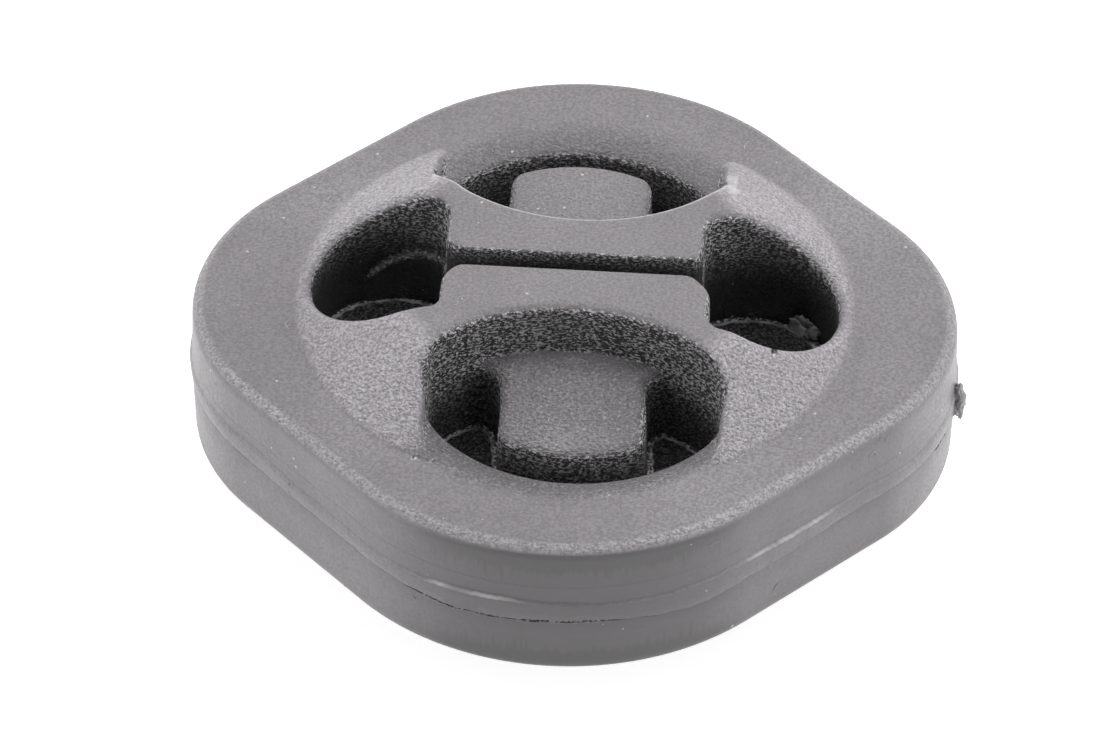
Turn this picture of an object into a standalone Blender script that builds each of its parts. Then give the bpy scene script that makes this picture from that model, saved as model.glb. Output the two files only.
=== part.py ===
"""Exhaust hanger: one moulded rubber block with two rod holes, a slit web and two bump stops."""
import math

import bmesh
import bpy

MM = 0.001

# Ring: the outer band of the hanger, a square with four round corners
RING_WIDTH = 70.0 * MM
RING_DEPTH = 66.8 * MM
RING_THICKNESS = 14.7 * MM
SIDE_CORNER_RADIUS = 20.5 * MM
END_CORNER_RADIUS = 24.6 * MM
RIM_FILLET = 1.4 * MM

# Parting band: the low belt that the mould line leaves round the side wall
BAND_HEIGHT = 2.1 * MM
BAND_PROUD = 0.3 * MM
BAND_FILLET = 0.2 * MM

# Torn tab of flash left on the band at the right-hand corner
TAB_PROUD = 0.7 * MM
TAB_LENGTH = 2.2 * MM
TAB_HEIGHT = 3.2 * MM
TAB_OFF_CENTRE = -2.0 * MM

# Spool: the raised middle, flat on top and falling away as a cone
SPOOL_RISE = 5.1 * MM
SPOOL_FLAT_RADIUS = 16.9 * MM
SPOOL_FOOT_RADIUS = 25.3 * MM
SPOOL_EDGE_RADIUS = 6.0 * MM

# Web: the waist between the bays, slit along its middle
WEB_HALF_WAIST = 6.5 * MM
WEB_ARC_RADIUS = 17.3 * MM
WEB_END = 11.9 * MM
WEB_CORNER_RADIUS = 3.5 * MM
SLIT_WIDTH = 2.1 * MM
SLIT_MOUTH_RADIUS = 1.6 * MM

# Horns: the two crescents of the spool beside each bay
HORN_GAP = 26.2 * MM

# Rod holes
ROD_HOLE_RADIUS = 8.0 * MM
ROD_HOLE_SPACING = 32.2 * MM
ROD_HOLE_CORNER_RADIUS = 1.9 * MM

# Bays: the through cavities at the two ends
BAY_REACH = 23.0 * MM
BAY_ARC_RADIUS = 15.0 * MM
BAY_CORNER_RADIUS = 2.0 * MM
BAY_FALL_REACH = 3.8 * MM
BAY_FALL_DROP = 1.2 * MM

# Bump stops: the tongues that stand in the bays
STOP_WIDTH = 13.0 * MM
STOP_GAP = 2.6 * MM
STOP_TOP_DROP = 0.1 * MM
STOP_CORNER_RADIUS = 2.2 * MM
STOP_ROOT_RADIUS = 2.6 * MM
STOP_EDGE_FILLET = 0.9 * MM
STOP_ROOT_CUT = math.radians(15)
STOP_ROOT_SINK = 2.0 * MM

# Mould allowances shared by every opening
DRAFT_INSET = 0.25 * MM
LIP_PROUD = 0.35 * MM
LIP_HALF_HEIGHT = 0.25 * MM
MOUTH_FILLET = 1.2 * MM
SLIT_MOUTH_FILLET = 0.4 * MM
MOUTH_RUNOUT = 0.4 * MM
MOUTH_ANGLES = (0, 40, 75)
FALL_SHARES = (0.0, 0.28, 0.54, 0.8)

# How far joined pieces sink into each other, and cutters pass the surface
SPOOL_SINK = 1.0 * MM
OVERCUT = 2.0 * MM
SKIN_GAP = 0.04 * MM

# Facets
RING_CORNER_FACETS = 18
RIM_FACETS = 3
SPOOL_STEPS = 72
SPOOL_EDGE_FACETS = 3
ROD_HOLE_FACETS = 12
CORNER_FACETS = 4
WEB_FACETS = 8
BAY_FACETS = 8
HORN_FACETS = 8
STOP_END_FACETS = 3
EDGE_FACETS = 2

half_ring = RING_THICKNESS / 2
spool_top = half_ring + SPOOL_RISE
stop_top = half_ring - STOP_TOP_DROP


def clear_scene():
    for item in list(bpy.data.objects):
        bpy.data.objects.remove(item, do_unlink=True)


def new_collection(name):
    group = bpy.data.collections.new(name)
    bpy.context.scene.collection.children.link(group)
    return group


def mirrored(points):
    """Right-hand points, from the first to the last, followed by their mirror image in x."""
    return points + [(-x, y) for x, y in reversed(points)]


def arc_points(centre, radius, start, end, count):
    points = []
    for i in range(count + 1):
        angle = start + (end - start) * i / count
        points.append((centre[0] + radius * math.cos(angle), centre[1] + radius * math.sin(angle)))
    return points


def ring_outline(grow):
    """Four corner arcs joined by straight tangents."""
    side = (RING_WIDTH / 2 - SIDE_CORNER_RADIUS, 0.0)
    end = (0.0, RING_DEPTH / 2 - END_CORNER_RADIUS)
    reach = math.hypot(side[0], end[1])
    lean = math.atan2(end[1], side[0])
    turn = math.acos((END_CORNER_RADIUS - SIDE_CORNER_RADIUS) / reach) - lean
    right = arc_points(side, SIDE_CORNER_RADIUS + grow, -turn, turn, RING_CORNER_FACETS)
    back = arc_points(end, END_CORNER_RADIUS + grow, turn, math.pi - turn, RING_CORNER_FACETS)
    left = [(-x, -y) for x, y in right]
    front = [(-x, -y) for x, y in back]
    return right + back + left + front


def rod_opening_outline(inset):
    """Both rod holes and the slit that joins them, as one outline."""
    radius = ROD_HOLE_RADIUS - inset
    centre = ROD_HOLE_SPACING / 2
    end = WEB_END + inset
    corner = ROD_HOLE_CORNER_RADIUS - inset
    half_slit = SLIT_WIDTH / 2 - max(inset, inset * SLIT_MOUTH_FILLET / MOUTH_FILLET)
    mouth = SLIT_MOUTH_RADIUS + inset
    corner_x = end + corner
    corner_y = math.sqrt((radius - corner) ** 2 - (centre - corner_x) ** 2)
    meet = math.atan2(corner_y, corner_x - centre)
    quarter = arc_points((centre, 0.0), radius, 0.0, meet, ROD_HOLE_FACETS)
    quarter += arc_points((corner_x, corner_y), corner, meet, math.pi, CORNER_FACETS)[1:]
    quarter += arc_points((end - mouth, half_slit + mouth), mouth, 0.0, -math.pi / 2, CORNER_FACETS)
    upper = mirrored(quarter)
    lower = [(x, -y) for x, y in reversed(upper)]
    return upper + lower[1:-1]


def web_corner(inset):
    """Centre and angle of the corner between the web arc and the horn flank."""
    radius = WEB_ARC_RADIUS - inset
    corner = WEB_CORNER_RADIUS - inset
    middle = WEB_HALF_WAIST + WEB_ARC_RADIUS
    x = HORN_GAP / 2 - inset - corner
    y = middle - math.sqrt((radius - corner) ** 2 - x ** 2)
    return (x, y), math.atan2(y - middle, x)


def bay_side(inset, spread):
    """Horn flank and ring side of a bay, on the right; spread widens the ring side alone."""
    corner, meet = web_corner(inset)
    points = arc_points(corner, WEB_CORNER_RADIUS - inset, meet, 0.0, CORNER_FACETS)
    radius = BAY_ARC_RADIUS - inset + spread
    blend = BAY_CORNER_RADIUS - inset
    middle = BAY_REACH - BAY_ARC_RADIUS
    x = HORN_GAP / 2 - inset - blend
    y = middle + math.sqrt((radius - blend) ** 2 - x ** 2)
    turn = math.atan2(y - middle, x)
    points += arc_points((x, y), blend, 0.0, turn, 2)
    points += arc_points((0.0, middle), radius, turn, math.pi / 2, BAY_FACETS)[1:]
    return points


def bay_outline(inset, spread):
    """The whole bay without its bump stop."""
    middle = (0.0, WEB_HALF_WAIST + WEB_ARC_RADIUS)
    meet = web_corner(inset)[1]
    side = arc_points(middle, WEB_ARC_RADIUS - inset, -math.pi / 2, meet, WEB_FACETS)[:-1]
    side += bay_side(inset, spread)
    return side + [(-x, y) for x, y in reversed(side)][1:-1]


def stop_outline(grow):
    """Bump stop from its rounded end down to its flared root, which sinks into the web."""
    end_middle = (0.0, BAY_REACH - BAY_ARC_RADIUS)
    end_radius = BAY_ARC_RADIUS - STOP_GAP + grow
    side_x = STOP_WIDTH / 2 + grow
    tip = STOP_CORNER_RADIUS + grow
    tip_x = side_x - tip
    tip_y = end_middle[1] + math.sqrt((end_radius - tip) ** 2 - tip_x ** 2)
    turn = math.atan2(tip_y - end_middle[1], tip_x)
    side = arc_points(end_middle, end_radius, math.pi / 2, turn, STOP_END_FACETS)
    side += arc_points((tip_x, tip_y), tip, turn, 0.0, CORNER_FACETS)[1:]
    root = STOP_ROOT_RADIUS - grow
    root_x = side_x + root
    drop = math.sqrt((WEB_ARC_RADIUS - root) ** 2 - root_x ** 2)
    root_y = WEB_HALF_WAIST + WEB_ARC_RADIUS - drop
    leave = 2 * math.pi + math.atan2(-drop, root_x) - STOP_ROOT_CUT
    side += arc_points((root_x, root_y), root, math.pi, leave, CORNER_FACETS)
    side.append((side[-1][0], WEB_HALF_WAIST - STOP_ROOT_SINK))
    return side + [(-x, y) for x, y in reversed(side)][:-1]


def level(outline, height):
    return [(x, y, height) for x, y in outline]


def spool_height(x, y):
    """Height of the spool over a point: flat, then shoulder, then cone."""
    reach = math.hypot(x, y)
    slope, centre = spool_shoulder()
    if reach <= centre[0]:
        return spool_top
    if reach <= centre[0] + SPOOL_EDGE_RADIUS * math.sin(slope):
        return centre[1] + math.sqrt(SPOOL_EDGE_RADIUS ** 2 - (reach - centre[0]) ** 2)
    return half_ring + (SPOOL_FOOT_RADIUS - reach) * math.tan(slope)


def on_spool(outline, drop):
    """Outline laid over the spool, a little below its skin."""
    return [(x, y, spool_height(x, y) - drop) for x, y in outline]


def fillet_steps(radius):
    """How far a rounded mouth spreads, and how far it lies below the skin, from wall to skin."""
    steps = []
    for degrees in MOUTH_ANGLES:
        turn = math.radians(degrees)
        steps.append((radius * (1 - math.cos(turn)), radius * (1 - math.sin(turn))))
    spread, drop = steps[-1]
    run = MOUTH_RUNOUT
    steps.append((spread + run, drop - run / math.tan(turn)))
    return steps


def bay_fall_steps():
    """How the ring's face falls towards a bay: reach from the wall, and drop, from wall to skin."""
    steps = []
    for share in FALL_SHARES:
        steps.append((BAY_FALL_REACH * share, BAY_FALL_DROP * (1 - share) ** 2))
    steps.append((BAY_FALL_REACH, -steps[-1][1]))
    return steps


def loft(name, loops, group):
    """Solid through a stack of loops that have equal point counts."""
    mesh = bmesh.new()
    rows = [[mesh.verts.new(point) for point in loop] for loop in loops]
    count = len(rows[0])
    for low, high in zip(rows, rows[1:]):
        for i in range(count):
            j = (i + 1) % count
            mesh.faces.new((low[i], low[j], high[j], high[i]))
    caps = [mesh.faces.new(list(reversed(rows[0]))), mesh.faces.new(rows[-1])]
    bmesh.ops.triangulate(mesh, faces=caps)
    bmesh.ops.recalc_face_normals(mesh, faces=mesh.faces)
    data = bpy.data.meshes.new(name)
    mesh.to_mesh(data)
    mesh.free()
    item = bpy.data.objects.new(name, data)
    group.objects.link(item)
    return item


def cut(body, cutter):
    cutter.hide_render = True
    cutter.display_type = "WIRE"
    change = body.modifiers.new("cut_" + cutter.name, "BOOLEAN")
    change.operation = "DIFFERENCE"
    change.solver = "EXACT"
    change.object = cutter


def join(body, piece):
    piece.hide_render = True
    piece.display_type = "WIRE"
    change = body.modifiers.new("join_" + piece.name, "BOOLEAN")
    change.operation = "UNION"
    change.solver = "EXACT"
    change.object = piece


def plate(name, outline, thickness, group):
    """Flat piece of even thickness, half above and half below the parting line."""
    mesh = bmesh.new()
    mesh.faces.new([mesh.verts.new((x, y, 0.0)) for x, y in outline])
    data = bpy.data.meshes.new(name)
    mesh.to_mesh(data)
    mesh.free()
    item = bpy.data.objects.new(name, data)
    group.objects.link(item)
    skin = item.modifiers.new("thickness", "SOLIDIFY")
    skin.thickness = thickness
    skin.offset = 0.0
    return item


def round_rims(item, radius, facets):
    rim = item.modifiers.new("rim_fillet", "BEVEL")
    rim.width = radius
    rim.segments = facets
    rim.limit_method = "ANGLE"
    rim.angle_limit = math.radians(60)


def spool_shoulder():
    """Slope of the cone, and centre of the arc that leads the flat into it."""
    slope = math.atan2(SPOOL_RISE, SPOOL_FOOT_RADIUS - SPOOL_FLAT_RADIUS)
    reach = SPOOL_EDGE_RADIUS * math.tan(slope / 2)
    return slope, (SPOOL_FLAT_RADIUS - reach, spool_top - SPOOL_EDGE_RADIUS)


def spool_profile():
    """Upper half of the turned profile: flat, shoulder, cone, and a foot inside the ring."""
    slope, centre = spool_shoulder()
    quarter = math.pi / 2
    shoulder = arc_points(centre, SPOOL_EDGE_RADIUS, quarter, quarter - slope, SPOOL_EDGE_FACETS)
    foot = (SPOOL_FOOT_RADIUS + SPOOL_SINK / math.tan(slope), half_ring - SPOOL_SINK)
    return [(0.0, spool_top)] + shoulder + [foot]


def make_spool(group):
    """Turned middle, its facets half a step round so that no edge lies on the centre lines."""
    upper = spool_profile()
    profile = upper + [(r, -z) for r, z in reversed(upper)]
    mesh = bmesh.new()
    lean = math.pi / SPOOL_STEPS
    line = [mesh.verts.new((r * math.cos(lean), r * math.sin(lean), z)) for r, z in profile]
    for first, second in zip(line, line[1:]):
        mesh.edges.new((first, second))
    data = bpy.data.meshes.new("spool")
    mesh.to_mesh(data)
    mesh.free()
    spool = bpy.data.objects.new("spool", data)
    group.objects.link(spool)
    turn = spool.modifiers.new("turn", "SCREW")
    turn.angle = 2 * math.pi
    turn.steps = SPOOL_STEPS
    turn.render_steps = SPOOL_STEPS
    turn.use_merge_vertices = True
    turn.merge_threshold = 0.00001
    return spool


def turned(loops, sense, above):
    """Loops brought to the back or front end, and to the top or under face."""
    return [[(x, y * sense, z * above) for x, y, z in loop] for loop in loops]


def make_horn_gap(group, name, sense, above):
    """Clears the spool between its horns, beyond the bay."""
    side, start = bay_side(0.0, 0.0)[CORNER_FACETS]
    near = start + BAY_CORNER_RADIUS / 4
    far = SPOOL_FOOT_RADIUS + 5.0 * MM
    outline = [(-side, near), (side, near), (side, far), (-side, far)]
    loops = [level(outline, half_ring - SPOOL_SINK / 2), level(outline, spool_top + OVERCUT)]
    return loft(name, turned(loops, sense, above), group)


def horn_edge(spread):
    """Top edge of the web and horns round a bay, closed beyond the horn tips."""
    middle = (0.0, WEB_HALF_WAIST + WEB_ARC_RADIUS)
    corner, meet = web_corner(0.0)
    side = arc_points(middle, WEB_ARC_RADIUS + spread, -math.pi / 2, meet, WEB_FACETS)[:-1]
    side += arc_points(corner, WEB_CORNER_RADIUS + spread, meet, 0.0, CORNER_FACETS)
    start = side[-1][1]
    for i in range(1, HORN_FACETS + 1):
        side.append((side[-1][0], start + (SPOOL_FOOT_RADIUS - start) * i / HORN_FACETS))
    return side + [(-x, y) for x, y in reversed(side)][:-1]


def make_horn_rounding(group, name, sense, above):
    """Rounds the top edge of the web and horns; the rounding dies out at the horn tips."""
    plain = horn_edge(0.0)
    spread = horn_edge(MOUTH_FILLET)
    loops = []
    for out, drop in [(-0.5 * MM, MOUTH_FILLET)] + fillet_steps(MOUTH_FILLET)[1:]:
        loop = []
        for (x0, y0), (x1, y1) in zip(plain, spread):
            rise = max(0.0, spool_height(x0, y0) - half_ring)
            share = min(1.0, rise / (2 * MOUTH_FILLET))
            x = x0 + (x1 - x0) * out / MOUTH_FILLET * share
            y = y0 + (y1 - y0) * out / MOUTH_FILLET * share
            skin = max(spool_height(x, y), half_ring)
            loop.append((x, y, max(skin - drop * share, half_ring + SKIN_GAP)))
        loops.append(loop)
    loops.append([(x, y, spool_top + OVERCUT) for x, y, z in loops[-1]])
    return loft(name, turned(loops, sense, above), group)


def make_rod_openings(group):
    clear = spool_top + OVERCUT
    steps = fillet_steps(MOUTH_FILLET)
    half = [level(rod_opening_outline(-steps[-1][0]), clear)]
    for spread, drop in reversed(steps):
        half.append(on_spool(rod_opening_outline(-spread), drop))
    half.append(level(rod_opening_outline(DRAFT_INSET), LIP_HALF_HEIGHT))
    crest = level(rod_opening_outline(DRAFT_INSET + LIP_PROUD), 0.0)
    under = [[(x, y, -z) for x, y, z in loop] for loop in reversed(half)]
    return loft("rod_openings", half + [crest] + under, group)


def make_bay(group, name, sense):
    """Cuts a bay right through; on the ring side the face falls away towards it."""
    steps = bay_fall_steps()
    half = [level(bay_outline(0.0, steps[-1][0]), spool_top + OVERCUT)]
    for spread, drop in reversed(steps):
        half.append(level(bay_outline(0.0, spread), half_ring - drop))
    half.append(level(bay_outline(DRAFT_INSET, 0.0), LIP_HALF_HEIGHT))
    crest = level(bay_outline(DRAFT_INSET + LIP_PROUD, 0.0), 0.0)
    under = [[(x, y, -z) for x, y, z in loop] for loop in reversed(half)]
    return loft(name, turned(half + [crest] + under, sense, 1), group)


def make_bump_stop(group, name, sense):
    half = []
    for i in range(EDGE_FACETS + 1):
        turn = math.pi / 2 * (1 - i / EDGE_FACETS)
        drop = STOP_EDGE_FILLET * (1 - math.sin(turn))
        shave = STOP_EDGE_FILLET * (1 - math.cos(turn))
        half.append(level(stop_outline(-shave), stop_top - drop))
    half.append(level(stop_outline(DRAFT_INSET), LIP_HALF_HEIGHT))
    crest = level(stop_outline(DRAFT_INSET + LIP_PROUD), 0.0)
    under = [[(x, y, -z) for x, y, z in loop] for loop in reversed(half)]
    return loft(name, turned(half + [crest] + under, sense, 1), group)


def make_torn_tab(group):
    """Small uneven lump on the parting band."""
    mesh = bmesh.new()
    bmesh.ops.create_icosphere(mesh, subdivisions=2, radius=1.0)
    depth = BAND_PROUD + TAB_PROUD
    for vert in mesh.verts:
        x, y, z = vert.co
        lump = 1.0 + 0.16 * math.sin(5.0 * y + 3.0 * z) + 0.12 * math.cos(7.0 * z - 2.0 * x)
        vert.co.x = RING_WIDTH / 2 + depth * x * lump
        vert.co.y = TAB_OFF_CENTRE + TAB_LENGTH / 2 * y * lump
        vert.co.z = TAB_HEIGHT / 2 * z * lump
    data = bpy.data.meshes.new("torn_tab")
    mesh.to_mesh(data)
    mesh.free()
    tab = bpy.data.objects.new("torn_tab", data)
    group.objects.link(tab)
    return tab


def make_rubber():
    rubber = bpy.data.materials.new("rubber")
    rubber.use_nodes = True
    shader = rubber.node_tree.nodes["Principled BSDF"]
    shader.inputs["Base Color"].default_value = (0.115, 0.112, 0.115, 1.0)
    shader.inputs["Roughness"].default_value = 0.7
    return rubber


def build():
    clear_scene()
    part = new_collection("exhaust_hanger")
    tools = new_collection("cutters")
    body = plate("rubber_body", ring_outline(0.0), RING_THICKNESS, part)
    round_rims(body, RIM_FILLET, RIM_FACETS)
    band = plate("parting_band", ring_outline(BAND_PROUD), BAND_HEIGHT, tools)
    round_rims(band, BAND_FILLET, 1)
    spool = make_spool(tools)
    for end, sense in (("back", 1), ("front", -1)):
        for face, above in (("top", 1), ("under", -1)):
            cut(spool, make_horn_gap(tools, "horn_gap_%s_%s" % (end, face), sense, above))
    join(body, spool)
    join(body, band)
    join(body, make_torn_tab(tools))
    for end, sense in (("back", 1), ("front", -1)):
        cut(body, make_bay(tools, "bay_" + end, sense))
        for face, above in (("top", 1), ("under", -1)):
            name = "horn_rounding_%s_%s" % (end, face)
            cut(body, make_horn_rounding(tools, name, sense, above))
        join(body, make_bump_stop(tools, "bump_stop_" + end, sense))
    cut(body, make_rod_openings(tools))
    body.data.materials.append(make_rubber())


build()
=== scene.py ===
import math

import bmesh
import bpy
import numpy as np
from mathutils import Matrix, Vector, noise
from mathutils.bvhtree import BVHTree


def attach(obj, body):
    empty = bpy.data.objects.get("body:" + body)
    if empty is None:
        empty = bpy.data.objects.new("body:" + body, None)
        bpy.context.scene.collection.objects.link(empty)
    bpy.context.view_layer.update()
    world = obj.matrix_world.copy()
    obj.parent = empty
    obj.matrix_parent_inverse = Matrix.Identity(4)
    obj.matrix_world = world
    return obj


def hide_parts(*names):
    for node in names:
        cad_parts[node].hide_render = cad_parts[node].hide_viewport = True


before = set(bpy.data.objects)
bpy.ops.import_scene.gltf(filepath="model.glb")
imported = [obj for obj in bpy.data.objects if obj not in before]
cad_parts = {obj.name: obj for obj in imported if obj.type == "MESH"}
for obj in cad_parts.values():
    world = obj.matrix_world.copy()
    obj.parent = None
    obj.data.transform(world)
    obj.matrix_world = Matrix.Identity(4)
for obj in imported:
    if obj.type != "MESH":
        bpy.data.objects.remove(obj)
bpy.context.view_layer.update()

MM = 0.001

# Sizes are in millimetres and angles in degrees.
# Two numbers in brackets say where a change starts and where it is complete.
# Ring
RING_THICKNESS = 14.7
HALF_RING = RING_THICKNESS / 2
SIDE_CENTRE = 14.5
SIDE_RADIUS = 20.5
END_CENTRE = 8.8
END_RADIUS = 24.6
WALL_DRAFT = 0.2
RIM_FILLET = 1.4

# Raised middle: flat top, shoulder and cone
SPOOL_TOP = 12.45
SPOOL_FLAT_RADIUS = 16.9
SHOULDER_ROUND = 0.87
SPOOL_LIMIT = 25.4
CONE_FOOT = 25.75
CONE_SLOPE = math.atan2(SPOOL_TOP - HALF_RING, CONE_FOOT - SPOOL_FLAT_RADIUS)
FOOT_FILLET = 0.6
FLANK_FILLET = 1.2

# Gaps that part the cone into horns
HORN_GAP_HALF = 13.1
HORN_GAP_START = 14.3
HORN_ROUND = 1.4
HORN_ROUND_SHARE = 0.7
HORN_TIP_ROUND = 0.3
HORN_TIP_CORNER = 1.5
FLANK_NEAR_GAP = (0.5, 3.0)
FLANK_START = (15.0, 17.0)
FLANK_END = (23.5, 25.5)

# The block isn't quite even: gaps, left hole and the web's right end stand a little off centre
FRONT_GAP_SHIFT = 0.85
BACK_GAP_SHIFT = -0.5
GAP_SHIFT_START = (5.0, 15.0)
LEFT_HOLE_SHIFT = 0.75
LEFT_SHIFT_START = (10.0, 14.0)
LEFT_SHIFT_END = (9.0, 14.0)
SHIFT_END = (23.0, 27.0)
RIGHT_END_SKEW = 0.45
RIGHT_SKEW_START = (0.8, 2.5)

# Web, bays and bump stops
WEB_HALF_WAIST = 6.5
WEB_ARC = 17.3
WEB_MIDDLE = WEB_HALF_WAIST + WEB_ARC
WEB_CORNER = 0.85
WEB_EDGE = 1.0
BAY_MIDDLE = 8.0
BAY_ARC = 15.0
BAY_CORNER = 0.25
BAY_EDGE = 0.5
BAY_EDGE_HEIGHTS = (9.0, 7.4)
BAY_FALL_REACH = 3.8
BAY_FALL_DROP = 1.2
OPENING_DRAFT = 0.25
STOP_HALF = 6.5
STOP_START = 5.0
STOP_REACH = 12.4
STOP_CORNER = 1.04
STOP_TOP = 7.25
STOP_EDGE = 0.9
STOP_FOOT_FILLET = 0.3
ROOT_ROUND = 3.8
ROOT_INSIDE_WEB = 0.3
ROOT_REACH = 13.0
ROOT_HALF = 12.5

# Rod holes and the slit between them
ROD_HOLE_X = 16.1
ROD_HOLE_RADIUS = 8.0
ROD_HOLE_END = 11.9
ROD_HOLE_CORNER = 0.9
SLIT_HALF = 1.05
SLIT_INTO_HOLE = 1.0
SLIT_MOUTH = 2.1
SLIT_EDGE = 0.35
WEB_END_EDGE = 1.0
RIGHT_END_EXTRA_EDGE = 0.5
ROD_EDGE = 1.45
WEB_END_EDGE_START = (10.0, 11.8)
ROD_EDGE_START = (12.5, 15.5)

# Ledge on the back wall of the left hole, its top an arch
LEDGE_PROUD = 0.5
LEDGE_TOP = 5.6
LEDGE_MIDDLE = -13.0
LEDGE_ARCH = 0.06
LEDGE_SOFT = 0.5
LEDGE_RIGHT = (11.0, 12.5)
LEDGE_LEFT = (18.5, 21.0)
LEDGE_BACK = (3.5, 6.0)

# Small tears, from one point to another with a radius: right hole's near mouth, front left horn's foot
NICKS = (
    ((18.3, -8.1, 10.1), (18.55, -9.0, 10.45), 0.26),
    ((-12.6, -22.1, 7.45), (-11.2, -22.45, 7.45), 0.28),
)

# Parting band: its upper and lower lines wander, so each has its turning points (azimuth, height)
BAND_UPPER_LINE = (
    (-180, 1.2), (-153, 1.75), (-138, 1.15), (-112, 0.92), (-101, 1.22), (-77, 0.92), (-56, 1.3),
    (-42, 1.16), (-32, 1.34), (-20, 0.85), (10, 1.1), (60, 1.3), (110, 0.95), (150, 1.2),
)
BAND_LOWER_LINE = (
    (-180, -0.3), (-158, 0.0), (-138, -0.37), (-126, -0.36), (-103, -1.03), (-85, -0.8), (-67, -1.36),
    (-56, -0.8), (-30, -0.5), (20, -0.9), (70, -0.6), (125, -1.0),
)
BAND_PROUD = 0.3
BAND_STRIP = 2.9
BAND_SKIN = 0.012
BAND_STEPS = 1300
CHANNEL_DEPTH = 0.45
CHANNEL_SLOPE = (BAND_STRIP - 1.0, BAND_STRIP - 0.4)
CHANNEL_GAP = 0.02
GROOVE_DEPTH = 0.34

# Stretches of the band, as azimuths: crest that shines, open groove, torn edge, edge worn low
CREST_STRETCHES = (((-111, -106), (-98, -91)), ((-60, -53), (-43, -36)))
GROOVE_STRETCH = ((-118, -110), (-84, -76))
TORN_STRETCH = ((-14.5, -13), (-9.5, -8))
WORN_STRETCH = ((-178, -170), (-128, -118))

# Fins of flash inside the openings: profile as (share of the width, height)
FIN_STEP = 0.22
FIN_WIDTH = 0.42
FIN_LEAST = 0.12
FIN_MOST = 0.8
FIN_PROFILE = (
    (-0.3, 0.3), (0.0, 0.2), (0.55, 0.14), (0.95, 0.09),
    (1.0, -0.06), (0.55, -0.1), (0.0, -0.2), (-0.3, -0.3),
)

# Fineness of the skin, and the fibres
REMESH = 0.28
SKIN_TRIANGLES = 190000
LINT_COUNT = 46
WALL_LINT_COUNT = 22
LINT_SIDES = 5
LINT_POINTS = 10
LINT_CLIMB = 1.2

# Paler and darker patches on the flat faces: x, y, reach, and share (negative is darker)
PALE_DARK_PATCHES = (
    (14, -27, 9, 0.55), (-25, -13, 12, -0.22), (28, -5, 9, 0.15), (0, -3, 8, 0.15), (0, 6, 8, 0.15),
    (-2, -30, 9, -0.12), (0, -19, 3.5, 1.2), (0, -13, 4, 0.3), (0, 16, 5, 0.6), (-20, 12, 7, 1.0),
    (20, 12, 6, 0.5), (26, 16, 8, 0.6), (-17, -15, 6, 0.8), (17, -15, 6, 0.4),
)

# Colours of the rubber, linear
GREY_LOW = (0.24, 0.227, 0.238)
GREY_HIGH = (0.28, 0.265, 0.278)
CONE_GREY = (0.515, 0.488, 0.52)
# Rim: edge wear and a painted highlight.
RIM_WEAR_AND_HIGHLIGHT = (0.52, 0.505, 0.52)
# Paler and darker patches; the darker colour also paints shade on the front of the wall and band.
PATCH_PALE = (0.9, 0.88, 0.9)
PATCH_AND_SHADE_DARK = (0.115, 0.111, 0.115)
# Painted shade in the cavities, near black deep down.
CAVITY_SHADE_DARK = (0.055, 0.053, 0.055)
DEEP_SHADE_BLACK = (0.01, 0.01, 0.01)
# Painted glints on flecks and at the mouths of the openings.
FLECK_GLINT = (0.85, 0.83, 0.85)
MOUTH_GLINT = (0.9, 0.88, 0.9)
# Painted shade in pits, and glints beside them.
PIT_SHADE = (0.1, 0.097, 0.1)
GLINT_PALE = (0.6, 0.59, 0.6)
MOTTLE_DARK = (0.14, 0.134, 0.14)
SPECK_DARK = (0.07, 0.07, 0.07)
DUST_PALE = (0.8, 0.79, 0.79)
# Torn rubber, and painted highlights on the web's back edge, band crest and fin tips.
TORN_AND_HIGHLIGHT_PALE = (0.8, 0.79, 0.8)

# Grain of the rubber, as features in a metre
CLOUD_SCALE = 160.0
GRAIN_SCALE = 3300.0
FLECK_SCALE = 2900.0
FLECK_STRETCH = 2.1
COARSE_SCALE = 3100.0
SPECK_SCALE = 560.0
SPECK_SIZE_SCALE = 1400.0

# Camera, light and paper
CAMERA_ELEVATION = 40.816
CAMERA_AZIMUTH = 3.508
CAMERA_ROLL = 0.699
CAMERA_DISTANCE = 581.2
CAMERA_LENS = 205.97
TARGET_RIGHT = -1.71
TARGET_BACK = -0.735
LAMP_PLACE = (0.04, 0.16, 0.55)
LAMP_SIZE = (0.7, 0.5)
LAMP_WATTS = 3.35
FLOOR_HALF_METRES = 3.0
FLOOR_WHITE = 0.8
PAPER_LEAST = 0.02
PAPER_BEHIND = 0.5
PAPER_LOW = 0.08
PAPER_SIDES = 2.5


# Form of the block
def ramp(v, low, high):
    t = np.clip((v - low) / (high - low), 0, 1)
    return t * t * (3 - 2 * t)


def fade(v, low, high):
    return 1 - ramp(v, low, high)


def between(v, rise, drop, share=1.0):
    return share * ramp(v, *rise) * fade(v, *drop)


def inner_round(a, b, r):
    """Where both a and b are inside: their shared edge rounded by r."""
    return np.minimum(-r, np.maximum(a, b)) + np.hypot(np.maximum(a + r, 0), np.maximum(b + r, 0))


def outer_round(a, b, r):
    """Where a or b is inside: the corner between them filled by r."""
    return np.maximum(r, np.minimum(a, b)) - np.hypot(np.maximum(r - a, 0), np.maximum(r - b, 0))


def outline_distance(x, y):
    """Distance from the ring's outline, negative inside: side arcs and end arcs joined by flats."""
    x, y = np.abs(x), np.abs(y)
    reach = math.hypot(SIDE_CENTRE, END_CENTRE)
    turn = math.acos((END_RADIUS - SIDE_RADIUS) / reach) - math.atan2(END_CENTRE, SIDE_CENTRE)
    nx, ny = math.cos(turn), math.sin(turn)
    side = np.hypot(x - SIDE_CENTRE, y) - SIDE_RADIUS
    end = np.hypot(x, y - END_CENTRE) - END_RADIUS
    flat = (x - SIDE_CENTRE) * nx + y * ny - SIDE_RADIUS
    on_side = (x - SIDE_CENTRE) * ny - y * nx > 0
    on_end = x * ny - (y - END_CENTRE) * nx < 0
    return np.where(on_side, side, np.where(on_end, end, flat))


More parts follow.
